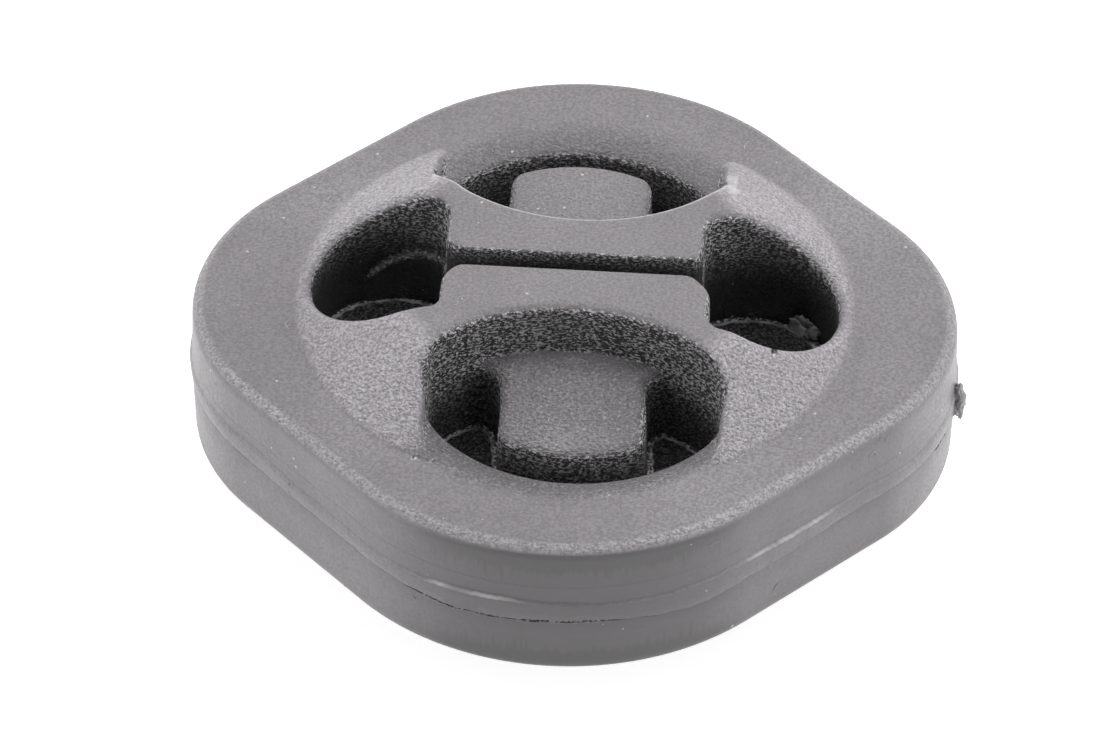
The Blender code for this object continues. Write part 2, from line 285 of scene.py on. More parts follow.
def hand_fit(x, y):
    """The place in the even design that stands for this place in the real, slightly uneven block."""
    front = ramp(-y, *GAP_SHIFT_START) * FRONT_GAP_SHIFT
    back = ramp(y, *GAP_SHIFT_START) * BACK_GAP_SHIFT
    inside = fade(np.hypot(x, y), *SHIFT_END)
    left = ramp(-x, *LEFT_SHIFT_START) * fade(np.abs(y), *LEFT_SHIFT_END) * LEFT_HOLE_SHIFT
    return x - (front + back) * inside, y - left * inside


def ring_form(p, z, y, far):
    """The ring with the band's channel round its wall; its face falls away towards each bay."""
    wall = outline_distance(p[:, 0], p[:, 1]) + WALL_DRAFT * z / HALF_RING
    wall = wall + CHANNEL_DEPTH * fade(z, *CHANNEL_SLOPE)
    fall = np.clip(BAY_ARC + BAY_FALL_REACH - far, 0, 2 * BAY_FALL_REACH) * (y > BAY_MIDDLE)
    fall = BAY_FALL_DROP * (fall / BAY_FALL_REACH) ** 2
    return inner_round(wall, z - HALF_RING + fall, RIM_FILLET)


def with_spool(ring, r, z, ax, y):
    """The raised middle with its four horns, set on the ring."""
    cone = (r - CONE_FOOT) * math.sin(CONE_SLOPE) + (z - HALF_RING) * math.cos(CONE_SLOPE)
    spool = inner_round(z - SPOOL_TOP, cone, SHOULDER_ROUND)
    gap = np.minimum(HORN_GAP_HALF - ax, y - HORN_GAP_START)
    footprint = inner_round(r - SPOOL_LIMIT, gap, HORN_TIP_CORNER)
    edge = HORN_ROUND_SHARE * (CONE_FOOT - r) * math.tan(CONE_SLOPE)
    horns = inner_round(spool, footprint, np.clip(edge, HORN_TIP_ROUND, HORN_ROUND))
    flank = fade(np.abs(ax - HORN_GAP_HALF), *FLANK_NEAR_GAP) * ramp(y, *FLANK_START) * fade(r, *FLANK_END)
    return outer_round(ring, horns, FOOT_FILLET + (FLANK_FILLET - FOOT_FILLET) * flank)


def with_bays(body, ax, y, z, far):
    """Both bays cut right through, each with its bump stop on flared roots."""
    inset = OPENING_DRAFT * (1 - np.minimum(z / HALF_RING, 1.0))
    web = np.hypot(ax, y - WEB_MIDDLE) - WEB_ARC
    bay = inner_round(inner_round(web, ax - HORN_GAP_HALF, WEB_CORNER), far - BAY_ARC, BAY_CORNER) + inset
    bay_edge = WEB_EDGE + (BAY_EDGE - WEB_EDGE) * ramp(z, *BAY_EDGE_HEIGHTS)
    body = inner_round(body, -bay, bay_edge)
    stop = inner_round(ax - STOP_HALF - inset, far - STOP_REACH - inset, STOP_CORNER)
    root = np.maximum(np.maximum(ROOT_INSIDE_WEB - web, y - ROOT_REACH), ax - ROOT_HALF)
    stop = np.maximum(outer_round(stop, root, ROOT_ROUND), STOP_START - y)
    stop = inner_round(stop, z - STOP_TOP, STOP_EDGE)
    return outer_round(body, stop, STOP_FOOT_FILLET)


def with_rod_holes(body, p, x, y):
    """Both rod holes and the slit that joins them, cut right through."""
    ax, z, height = np.abs(x), np.abs(p[:, 2]), p[:, 2]
    near = ramp(-y, *RIGHT_SKEW_START) * (x > 0)
    back = ramp(y, *RIGHT_SKEW_START) * (x > 0)
    hole_end = ROD_HOLE_END + RIGHT_END_SKEW * (near - back)
    hole = inner_round(np.hypot(ax - ROD_HOLE_X, y) - ROD_HOLE_RADIUS, hole_end - ax, ROD_HOLE_CORNER)
    slit = np.maximum(np.abs(p[:, 1]) - SLIT_HALF, ax - ROD_HOLE_END - SLIT_INTO_HOLE)
    opening = outer_round(hole, slit, SLIT_MOUTH) + OPENING_DRAFT * (1 - z / SPOOL_TOP)
    ledge_top = LEDGE_TOP - LEDGE_ARCH * (x - LEDGE_MIDDLE) ** 2
    ledge = between(-x, LEDGE_RIGHT, LEDGE_LEFT) * ramp(y, *LEDGE_BACK)
    ledge = ledge * fade(height, ledge_top - LEDGE_SOFT, ledge_top + LEDGE_SOFT)
    opening = opening + LEDGE_PROUD * ledge * (height > 0)
    extra = RIGHT_END_EXTRA_EDGE * near
    edge = SLIT_EDGE + (WEB_END_EDGE + extra - SLIT_EDGE) * ramp(ax, *WEB_END_EDGE_START)
    edge = edge + (ROD_EDGE - WEB_END_EDGE - extra) * ramp(ax, *ROD_EDGE_START)
    return inner_round(body, -opening, edge)


def block(p):
    """Signed distance, nearly, from the moulded rubber: negative inside."""
    x, y = hand_fit(p[:, 0], p[:, 1])
    across, ax, z = np.abs(y), np.abs(x), np.abs(p[:, 2])
    r = np.hypot(p[:, 0], p[:, 1])
    far = np.hypot(x, across - BAY_MIDDLE)
    body = with_spool(ring_form(p, z, across, far), r, z, ax, across)
    body = with_rod_holes(with_bays(body, ax, across, z, far), p, x, y)
    for start, end, reach in NICKS:
        start, along = np.array(start), np.subtract(end, start)
        share = np.clip((p - start) @ along / (along @ along), 0, 1)
        body = np.maximum(body, reach - np.linalg.norm(p - start - share[:, None] * along, axis=1))
    return body


def slope_of(field, p, step=0.01):
    grad = np.empty_like(p)
    for axis in range(3):
        shift = np.zeros(3)
        shift[axis] = step
        grad[:, axis] = (field(p + shift) - field(p - shift)) / (2 * step)
    return grad


def settle(field, p, rounds, longest=0.25):
    """Points moved onto the surface where the field is zero."""
    for _ in range(rounds):
        grad = slope_of(field, p)
        size = np.maximum((grad ** 2).sum(1), 0.2)
        move = (field(p) / size)[:, None] * grad
        length = np.linalg.norm(move, axis=1, keepdims=True)
        p = p - move * np.minimum(1.0, longest / np.maximum(length, 1e-9))
    return p


def round_line(azimuth, turning_points):
    """A line that swings smoothly from one turning point to the next, all the way round."""
    angles, heights = np.array(turning_points).T
    angles = np.append(angles, angles[0] + 360)
    heights = np.append(heights, heights[0])
    azimuth = (azimuth - angles[0]) % 360 + angles[0]
    i = np.clip(np.searchsorted(angles, azimuth, side="right") - 1, 0, len(angles) - 2)
    t = ramp(azimuth, angles[i], angles[i + 1])
    return heights[i] * (1 - t) + heights[i + 1] * t


def wobble(rng, turn, waves):
    """Unevenness between about -1 and 1 round one whole turn, which runs from 0 to 1."""
    total = np.zeros_like(turn)
    for _ in range(5):
        count = max(1, round(waves * rng.uniform(0.5, 1.6)))
        total += np.sin(2 * math.pi * (count * turn + rng.random()))
    return total / 2.5


def unit(v):
    return v / np.maximum(np.linalg.norm(v, axis=1, keepdims=True), 1e-9)


# Meshes
def get_points(mesh):
    flat = np.empty(len(mesh.vertices) * 3)
    mesh.vertices.foreach_get("co", flat)
    return flat.reshape(-1, 3) / MM


def set_points(mesh, p):
    mesh.vertices.foreach_set("co", (p * MM).astype(np.float32).ravel())
    mesh.update()


def relax(mesh, field, p, rounds):
    """Evens out the points along the surface, and puts them back on it."""
    ends = np.empty(len(mesh.edges) * 2, np.int64)
    mesh.edges.foreach_get("vertices", ends)
    a, b = ends.reshape(-1, 2).T
    count = np.bincount(a, minlength=len(p)) + np.bincount(b, minlength=len(p))
    for _ in range(rounds):
        mean = np.empty_like(p)
        for axis in range(3):
            total = np.bincount(a, p[b, axis], len(p)) + np.bincount(b, p[a, axis], len(p))
            mean[:, axis] = total / count
        normal = unit(slope_of(field, p))
        pull = mean - p
        pull -= (pull * normal).sum(1)[:, None] * normal
        p = settle(field, p + 0.5 * pull, 1)
    return p


def applied(obj):
    """The object's mesh with its modifiers done."""
    graph = bpy.context.evaluated_depsgraph_get()
    mesh = bpy.data.meshes.new_from_object(obj.evaluated_get(graph), depsgraph=graph)
    obj.modifiers.clear()
    obj.data = mesh
    return mesh


def new_object(name, data):
    obj = bpy.data.objects.new(name, data)
    bpy.context.scene.collection.objects.link(obj)
    return obj


def add_values(mesh, name, values):
    layer = mesh.attributes.new(name, "FLOAT", "POINT")
    layer.data.foreach_set("value", values.astype(np.float32))


def shade_smooth(mesh):
    mesh.polygons.foreach_set("use_smooth", np.ones(len(mesh.polygons), bool))


def tidied(mesh, sharp=40):
    """Faces turned outwards, shaded smooth but for the sharp edges."""
    work = bmesh.new()
    work.from_mesh(mesh)
    bmesh.ops.recalc_face_normals(work, faces=work.faces)
    work.to_mesh(mesh)
    work.free()
    shade_smooth(mesh)
    mesh.set_sharp_from_angle(angle=math.radians(sharp))
    return mesh


def swept(name, rows):
    """Closed tube: rows[k, i] is point k of the profile at step i, and both close on themselves."""
    profile, steps = rows.shape[:2]
    k, i = np.meshgrid(np.arange(profile), np.arange(steps), indexing="ij")
    after, onward = (k + 1) % profile, (i + 1) % steps
    corners = [k * steps + i, k * steps + onward, after * steps + onward, after * steps + i]
    faces = np.stack(corners, axis=-1)
    mesh = bpy.data.meshes.new(name)
    mesh.from_pydata((rows.reshape(-1, 3) * MM).tolist(), [], faces.reshape(-1, 4).tolist())
    return new_object(name, tidied(mesh))


# Regions of the surface, as values that the material reads
def front_shade(nx, ny):
    """How far a wall turns to the front, a little left of straight, where shade is painted on it."""
    return ramp(0.12 * nx - 0.993 * ny, 0.66, 0.99)


def depth_in_openings(x, y, z, height):
    """How far a place lies down a hole, the slit or a bay, where little light comes."""
    upper = ramp(height, -0.6, 0.6)
    hole = fade(np.hypot(np.abs(x) - ROD_HOLE_X, y), 8.4, 9.6)
    slit = (np.abs(x) < 12.5) * (np.abs(y) < 2.5) * fade(z, 10.2, 12.0)
    bay = (1 - hole) * 0.6 * fade(z, 1.0, 7.0) * (0.5 + 0.5 * upper)
    deep = np.maximum(hole * upper * fade(z, 3.5, 9.5), np.maximum(bay, slit))
    return np.maximum(deep, 0.4 * (1 - upper))


def summed_patches(x, y):
    """The paler and darker patches, added up."""
    total = np.zeros(len(x))
    for patch_x, patch_y, reach, share in PALE_DARK_PATCHES:
        total += share * np.exp(-((x - patch_x) ** 2 + (y - patch_y) ** 2) / reach ** 2)
    return total


def paint_regions(mesh, p, normal):
    """Says of each point how far it lies on the cone, the outer wall, a cavity wall, the rim and so on, and
    where shade and highlights are painted.
    """
    x, y, height = p.T
    z, r = np.abs(height), np.hypot(x, y)
    azimuth = np.degrees(np.arctan2(y, x))
    far = np.hypot(x, np.abs(y) - BAY_MIDDLE)
    up = np.abs(normal[:, 2])
    steep = fade(up, 0.25, 0.75)
    edge = outline_distance(x, y)
    outside = ramp(edge, -2.2, -1.0)
    front = ramp(-y, -5.0, 5.0)

    foot = 0.7 - 0.35 * ramp(-y, 8.0, 18.0)
    cone = ramp(z, HALF_RING + 0.1, HALF_RING + foot) * ramp(r, 15.6, 17.6) * ramp(up, 0.62, 0.75)

    flank = ramp(z, 7.5, 8.1) * ramp(np.abs(y), 14.8, 16.3)
    # Painted shade on the walls of the holes, slit and bays, less on the lower half.
    cavity = steep * (1 - outside) * (1 - 0.35 * ramp(-height, -0.4, 0.4)) * (1 - flank)

    # The rim's paler line: partly edge wear, partly a painted highlight, stronger towards the front and widest
    # at the right front.
    right_front = 0.2 * ramp(azimuth, -75, -62) * fade(azimuth, -35, -20)
    rim = ramp(edge, -2.1, -1.3) * ramp(up, 0.4, 0.65) * fade(up, 0.9, 0.99)
    rim = rim * (0.7 + 0.4 * ramp(-y, 5.0, 15.0) + right_front)

    # Painted highlight along the web's back edge, put in the torn value.
    web_back_highlight = between(up, (0.3, 0.55), (0.86, 0.97)) * ramp(normal[:, 1], 0.08, 0.3)
    web_back_highlight = web_back_highlight * ramp(z, 9.0, 10.5) * (y > 3) * (np.abs(x) < 14)

    beside_bay = fade(far, 17.5, 19.5) * ramp(np.abs(y), 7.0, 8.0) * fade(z, 7.6, 8.4) * (1 - steep)
    coarse = np.maximum(beside_bay * (0.35 + 0.65 * front), 0.6 * cone * (1 - steep))

    # Paler and darker patches on the flat faces; darker where the face falls towards each bay, more at the
    # front; painted shade on the outer wall where it turns to the front, strongest just under the rim.
    patch_and_shade = summed_patches(x, y) * (z > 5.0) * (1 - steep)
    patch_and_shade -= beside_bay * ramp(far, 14.0, 14.8) * fade(far, 15.5, 18.5) * (0.25 + 0.45 * front)
    patch_and_shade -= outside * steep * front_shade(normal[:, 0], normal[:, 1]) * (1.0 + 0.8 * ramp(z, 5.0, 6.2))

    add_values(mesh, "cone", cone)
    add_values(mesh, "wall", steep * outside)
    add_values(mesh, "cavity", cavity)
    add_values(mesh, "rim", rim)
    add_values(mesh, "torn", 0.6 * web_back_highlight)
    # Painted shade, near black, down the openings.
    add_values(mesh, "deep", steep * (1 - outside) * depth_in_openings(x, y, z, height))
    add_values(mesh, "coarse", coarse)
    add_values(mesh, "patch_and_shade", patch_and_shade)


# Pieces
def make_skin():
    """The block's visible surface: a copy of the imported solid, finely meshed, with its fillets drawn out."""
    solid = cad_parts["rubber_body"]
    skin = new_object("rubber_skin", solid.data.copy())
    fine = skin.modifiers.new("fine", "REMESH")
    fine.mode = "VOXEL"
    fine.voxel_size = REMESH * MM
    mesh = applied(skin)
    p = settle(block, get_points(mesh), 6)
    p = relax(mesh, block, p, 4)
    set_points(mesh, settle(block, p, 3))
    thin = skin.modifiers.new("thin", "DECIMATE")
    thin.ratio = min(1.0, SKIN_TRIANGLES / (2 * len(mesh.polygons)))
    mesh = applied(skin)
    p = settle(block, get_points(mesh), 3)
    set_points(mesh, p)
    normal = unit(slope_of(block, p))
    shade_smooth(mesh)
    paint_regions(mesh, p, normal)
    mesh.normals_split_custom_set_from_vertices(normal.astype(np.float32))
    return skin


def wall_places(azimuth):
    """Points of the ring's outline at these azimuths, and the outward direction at each."""
    way = np.stack([np.cos(np.radians(azimuth)), np.sin(np.radians(azimuth))], axis=1)
    low, high = np.full(len(way), 20.0), np.full(len(way), 45.0)
    for _ in range(40):
        middle = (low + high) / 2
        out = outline_distance(way[:, 0] * middle, way[:, 1] * middle) > 0
        low, high = np.where(out, low, middle), np.where(out, middle, high)
    p = way * low[:, None]
    step = 0.01
    dx = outline_distance(p[:, 0] + step, p[:, 1]) - outline_distance(p[:, 0] - step, p[:, 1])
    dy = outline_distance(p[:, 0], p[:, 1] + step) - outline_distance(p[:, 0], p[:, 1] - step)
    return p, unit(np.stack([dx, dy], axis=1))


def make_band():
    """The parting band round the wall, with the groove under its lower line; it fills the skin's channel."""
    rng = np.random.default_rng(11)
    turn = np.arange(BAND_STEPS) / BAND_STEPS
    azimuth = turn * 360 - 180
    places, out = wall_places(azimuth)
    upper = round_line(azimuth, BAND_UPPER_LINE)
    upper = upper + 0.04 * wobble(rng, turn, 60) + 0.03 * wobble(rng, turn, 220)
    lower = round_line(azimuth, BAND_LOWER_LINE)
    lower = lower + 0.04 * wobble(rng, turn, 50) + 0.02 * wobble(rng, turn, 200)
    proud = BAND_PROUD * (0.9 + 0.12 * wobble(rng, turn, 30))
    crest = sum(between(azimuth, *stretch) for stretch in CREST_STRETCHES)
    proud = proud * (0.7 + 0.55 * crest + 0.12 * crest * wobble(rng, turn, 60))
    torn = between(azimuth, *TORN_STRETCH)
    groove = 0.1 + between(azimuth, *GROOVE_STRETCH, 0.9) + 0.25 * wobble(rng, turn, 40) + 1.3 * torn
    groove = GROOVE_DEPTH * np.clip(groove, 0.02, 1.4)
    edge = 0.8 - between(azimuth, *WORN_STRETCH, 0.45)
    flat = np.ones_like(turn)
    crest_rows, groove_rows, lip_row = slice(4, 6), slice(11, 13), 13
    profile = [
        (-0.06 * flat, (BAND_STRIP + 0.03) * flat),
        (BAND_SKIN * flat, BAND_STRIP * flat),
        (BAND_SKIN * flat, upper + 0.42),
        (0.1 * proud, upper + 0.22),
        (0.5 * proud, upper + 0.08),
        (0.86 * proud, upper - 0.04),
        (proud, upper - 0.16),
        (proud, upper - 0.34),
        (0.8 * proud, 0.45 * upper + 0.55 * lower),
        (edge * proud, lower + 0.14),
        (0.6 * edge * proud, lower + 0.02),
        (-groove, lower - 0.02),
        (-groove, lower - 0.02 - 0.6 * groove),
        (-0.03 * flat, lower - 0.06 - 0.8 * groove),
        (BAND_SKIN * flat, lower - 0.16 - 0.8 * groove),
        (BAND_SKIN * flat, -BAND_STRIP * flat),
        (-0.06 * flat, -(BAND_STRIP + 0.03) * flat),
        ((CHANNEL_GAP - CHANNEL_DEPTH) * flat, -(BAND_STRIP - 1.1) * flat),
        ((CHANNEL_GAP - CHANNEL_DEPTH) * flat, (BAND_STRIP - 1.1) * flat),
    ]
    rows = np.empty((len(profile), BAND_STEPS, 3))
    for row, (reach, height) in zip(rows, profile):
        reach = reach - WALL_DRAFT * np.abs(height) / HALF_RING
        row[:, :2] = places + out * reach[:, None]
        row[:, 2] = height
    band = swept("parting_band", rows)
    pale, groove_shade, shine = (np.zeros((len(profile), BAND_STEPS)) for _ in range(3))
    # Painted highlight: paler crest rows, and a paler groove lip where the groove is open.
    pale[crest_rows] = 0.3
    pale[lip_row] = 0.5 * ramp(groove, 0.15, 0.3) * (1 - torn)
    # Painted shade in the open groove, and on the lip along the torn stretch.
    groove_shade[groove_rows] = ramp(groove, 0.15, 0.3)
    groove_shade[lip_row] = torn
    # Painted highlight where the crest shines.
    shine[crest_rows] = crest * np.clip(0.42 + 0.16 * wobble(rng, turn, 40), 0, 1)
    add_values(band.data, "wall", np.ones(len(band.data.vertices)))
    add_values(band.data, "rim", pale.ravel())
    add_values(band.data, "cavity", groove_shade.ravel())
    add_values(band.data, "torn", shine.ravel())
    # Painted shade on the band where it turns to the front, as on the wall.
    add_values(band.data, "patch_and_shade", np.tile(-0.95 * front_shade(out[:, 0], out[:, 1]), len(profile)))
    return band


def mid_loops(skin):
    """The closed lines in which the skin crosses the parting plane."""
    work = bmesh.new()
    work.from_mesh(skin.data)
    everything = work.verts[:] + work.edges[:] + work.faces[:]
    cut = bmesh.ops.bisect_plane(work, geom=everything, plane_co=(0, 0, 0), plane_no=(0, 0, 1))
    beside = {}
    for edge in cut["geom_cut"]:
        if isinstance(edge, bmesh.types.BMEdge):
            a, b = edge.verts
            beside.setdefault(a, []).append(b)
            beside.setdefault(b, []).append(a)
    loops, seen = [], set()
    for start in beside:
        if start in seen:
            continue
        line, here = [], start
        while here is not None and here not in seen:
            seen.add(here)
            line.append(here.co[:])
            here = next((other for other in beside[here] if other not in seen), None)
        loops.append(np.array(line) / MM)
    work.free()
    return loops


def evened(line, step):
    """The closed line with evenly spaced points."""
    closed = np.vstack([line, line[:1]])
    along = np.concatenate([[0], np.cumsum(np.linalg.norm(np.diff(closed, axis=0), axis=1))])
    at = np.linspace(0, along[-1], round(along[-1] / step), endpoint=False)
    line = np.stack([np.interp(at, along, closed[:, axis]) for axis in range(3)], axis=1)
    for _ in range(4):
        line = (np.roll(line, 1, 0) + 2 * line + np.roll(line, -1, 0)) / 4
    return line


def make_fins(skin):
    """Thin torn edge of flash that stands at the parting plane inside every opening."""
    rng = np.random.default_rng(5)
    fins = []
    for line in mid_loops(skin):
        too_short = len(line) < 40
        if too_short or np.hypot(line[:, 0], line[:, 1]).max() > 30:
            continue
        line = evened(line, FIN_STEP)
        turn = np.arange(len(line)) / len(line)
        out = slope_of(block, line)
        out[:, 2] = 0
        out = unit(out)
        waves = len(line) / 14
        width = FIN_WIDTH * (1 + 0.4 * wobble(rng, turn, waves / 4) + 0.16 * wobble(rng, turn, waves * 2))
        width = np.clip(width, FIN_LEAST, FIN_MOST)
        lift = 0.07 * wobble(rng, turn, waves / 3)
        rows = np.empty((len(FIN_PROFILE), len(line), 3))
        for row, (reach, height) in zip(rows, FIN_PROFILE):
            row[:] = line + out * (reach * width)[:, None]
            row[:, 2] += height + lift * max(reach, 0)
        fin = swept("flash_fin_%d" % len(fins), rows)
        tip = np.repeat([abs(reach) > 0.9 for reach, _ in FIN_PROFILE], len(line))
        bright = np.clip(0.6 + 0.45 * wobble(rng, turn, waves), 0.15, 1)
        y = np.abs(line[:, 1])
        on_stop = (y > 6) & (np.abs(line[:, 0]) < 8.5) & (np.hypot(line[:, 0], y - BAY_MIDDLE) < 13.5)
        bright *= 1 - 0.85 * on_stop
        # Painted shade on the fin's body, painted highlight on its tip, dimmed over the bump stops.
        add_values(fin.data, "cavity", np.where(tip, 0.0, 0.75))
        add_values(fin.data, "torn", tip * np.tile(bright, len(FIN_PROFILE)))
        fins.append(fin)
    return fins


def make_lump(name, place, size, turn, seed, roughness, torn):
    """Torn blob of rubber: an uneven solid, its size given along its own axes."""
    work = bmesh.new()
    bmesh.ops.create_icosphere(work, subdivisions=5, radius=1.0)
    shift = Vector((seed * 3.7, seed * 1.3, seed * 7.9))
    for vert in work.verts:
        push = noise.fractal(vert.co * 1.3 + shift, 0.7, 2.1, 5)
        tear = noise.noise(Vector((vert.co.x * 3, vert.co.y * 3, vert.co.z)) + shift * 2)
        vert.co *= 1 + roughness * (push + 0.6 * tear)
    mesh = bpy.data.meshes.new(name)
    work.to_mesh(mesh)
    work.free()
    about_x, about_y, about_z = (math.radians(angle) for angle in turn)
    spin = Matrix.Rotation(about_z, 4, "Z") @ Matrix.Rotation(about_y, 4, "Y")
    spin = spin @ Matrix.Rotation(about_x, 4, "X")
    scale = Matrix.Diagonal((*(Vector(size) * MM / 2), 1))
    mesh.transform(Matrix.Translation(Vector(place) * MM) @ spin @ scale)
    lump = new_object(name, tidied(mesh, 60))
    add_values(mesh, "torn", np.full(len(mesh.vertices), torn))
    return lump


def top_place(surface, azimuth, reach):
    """Turns a step along and across into a point of the upper faces and its normal, or None off them."""
    def lay(u, v):
        x, y = reach * math.cos(azimuth) + u, reach * math.sin(azimuth) + v
        if outline_distance(np.array([x]), np.array([y]))[0] > -2:
            return None
        hit, normal = surface.ray_cast(Vector((x, y, 30)) * MM, Vector((0, 0, -1)))[:2]
        return None if hit is None or hit.z < 6.5 * MM else (hit / MM, normal)
    return lay


def wall_place(surface, azimuth, height):
    """Turns a step round and up into a point of the wall and its normal, or None on the band."""
    wall_radius = 33

    def lay(u, v):
        angle = azimuth + u / wall_radius
        way = Vector((math.cos(angle), math.sin(angle), 0))
        hit, normal = surface.ray_cast((way * 50 + Vector((0, 0, height + v))) * MM, -way)[:2]
        return None if hit is None or abs(height + v) < 3.1 else (hit / MM, normal)
    return lay


def fibre(rng, length, lay):
    """Middle line of one curled fibre, as points and normals; empty where it would leave the surface."""
    heading, bend = rng.uniform(0, 2 * math.pi), rng.normal(0, 0.25)
    step = length / (LINT_POINTS - 1)
    u = v = 0.0
    line = []
    for _ in range(LINT_POINTS):
        found = lay(u, v)
        if found is None:
            return []
        line.append(found)
        bend += rng.normal(0, 0.12)
        heading += bend
        u, v = u + step * math.cos(heading), v + step * math.sin(heading)
    return line


def add_tube(points, faces, line, thick):
    """A thin tube along the line, lying on the surface, thinner at both ends."""
    first, last = len(points), len(line) - 1
    for k, (at, normal) in enumerate(line):
        taper = thick * (0.5 if k in (0, last) else 1.0)
        along = line[min(k + 1, last)][0] - line[max(k - 1, 0)][0]
        across = normal.cross(along).normalized()
        for side in range(LINT_SIDES):
            angle = 2 * math.pi * side / LINT_SIDES
            lift = 0.9 * thick + taper * math.sin(angle)
            points.append(at + normal * lift + across * taper * math.cos(angle))
    for k in range(last):
        for side in range(LINT_SIDES):
            a = first + k * LINT_SIDES + side
            b = first + k * LINT_SIDES + (side + 1) % LINT_SIDES
            faces.append((a, b, b + LINT_SIDES, a + LINT_SIDES))
    faces.append(tuple(range(first, first + LINT_SIDES)))
    faces.append(tuple(range(len(points) - LINT_SIDES, len(points))))


def make_lint(skin):
    """Short pale fibres that lie on the upper faces and cling to the wall."""
    rng = np.random.default_rng(23)
    surface = BVHTree.FromObject(skin, bpy.context.evaluated_depsgraph_get())
    points, faces = [], []
    for n in range(LINT_COUNT + WALL_LINT_COUNT):
        on_top = n < LINT_COUNT
        thick = rng.uniform(0.016, 0.03)
        azimuth, reach = rng.uniform(0, 2 * math.pi), rng.uniform(3, 31)
        height = rng.uniform(3.4, 6.0) * rng.choice((-1, 1))
        lay = top_place(surface, azimuth, reach) if on_top else wall_place(surface, azimuth, height)
        line = fibre(rng, rng.uniform(0.5, 2.0), lay)
        heights = [at.z for at, _ in line]
        if not line or (on_top and max(heights) - min(heights) > LINT_CLIMB):
            continue
        add_tube(points, faces, line, thick)
    mesh = bpy.data.meshes.new("lint")
    mesh.from_pydata([point * MM for point in points], [], faces)
    return new_object("lint", tidied(mesh, 60))


# Materials
class Nodes:
    """Short hand for building one node tree."""

    def __init__(self, tree):
        self.tree = tree

    def add(self, kind, inputs=(), **settings):
        node = self.tree.nodes.new(kind)
        for key, value in settings.items():
            setattr(node, key, value)
        for key, value in dict(inputs).items():
            if isinstance(value, bpy.types.NodeSocket):
                self.tree.links.new(value, node.inputs[key])
            else:
                node.inputs[key].default_value = value
        return node

    def math(self, operation, a, b=0.0, c=0.0, clamp=False):
        node = self.add("ShaderNodeMath", {0: a, 1: b, 2: c}, operation=operation, use_clamp=clamp)
        return node.outputs[0]

    def times(self, a, b):
        return self.math("MULTIPLY", a, b)

    def plus(self, a, b, clamp=False):
        return self.math("ADD", a, b, clamp=clamp)

    def without(self, a, share=1.0):
        """What is left of 1 when this share of a is taken away."""
        return self.math("SUBTRACT", 1.0, self.times(a, share))

    def value(self, name):
        return self.add("ShaderNodeAttribute", attribute_name=name).outputs["Fac"]

    def noise(self, where, scale, detail=2.0, rough=0.5):
        inputs = {"Vector": where, "Scale": scale, "Detail": detail, "Roughness": rough}
        return self.add("ShaderNodeTexNoise", inputs).outputs["Fac"]

    def cells(self, where, scale):
        return self.add("ShaderNodeTexVoronoi", {"Vector": where, "Scale": scale})

    def map(self, value, low, high, to_low=0.0, to_high=1.0):
        inputs = {"Value": value, "From Min": low, "From Max": high, "To Min": to_low, "To Max": to_high}
        return self.add("ShaderNodeMapRange", inputs).outputs["Result"]

    def mix(self, share, a, b):
        """Colour a with this share of colour b."""
        a, b = (v if isinstance(v, bpy.types.NodeSocket) else (*v, 1) for v in (a, b))
        return self.add("ShaderNodeMix", {0: share, 6: a, 7: b}, data_type="RGBA").outputs[2]


def new_material(name):
    """The material, a kit for its tree, and its shader."""
    material = bpy.data.materials.new(name)
    material.use_nodes = True
    return material, Nodes(material.node_tree), material.node_tree.nodes["Principled BSDF"]


def specks(kit, where):
    """Where pale dust lies, and where small dark specks are."""
    speck = kit.cells(where, SPECK_SCALE)
    distance = speck.outputs["Distance"]
    chance = kit.add("ShaderNodeSeparateColor", {"Color": speck.outputs["Color"]})
    size = kit.map(kit.noise(where, SPECK_SIZE_SCALE), 0.3, 0.7, 0.0, 0.1)
    dust = kit.math("LESS_THAN", distance, size)
    dust = kit.times(dust, kit.math("GREATER_THAN", chance.outputs[0], 0.5))
    wider = kit.math("LESS_THAN", distance, kit.times(size, 1.2))
    return dust, kit.times(wider, kit.math("LESS_THAN", chance.outputs[1], 0.16))


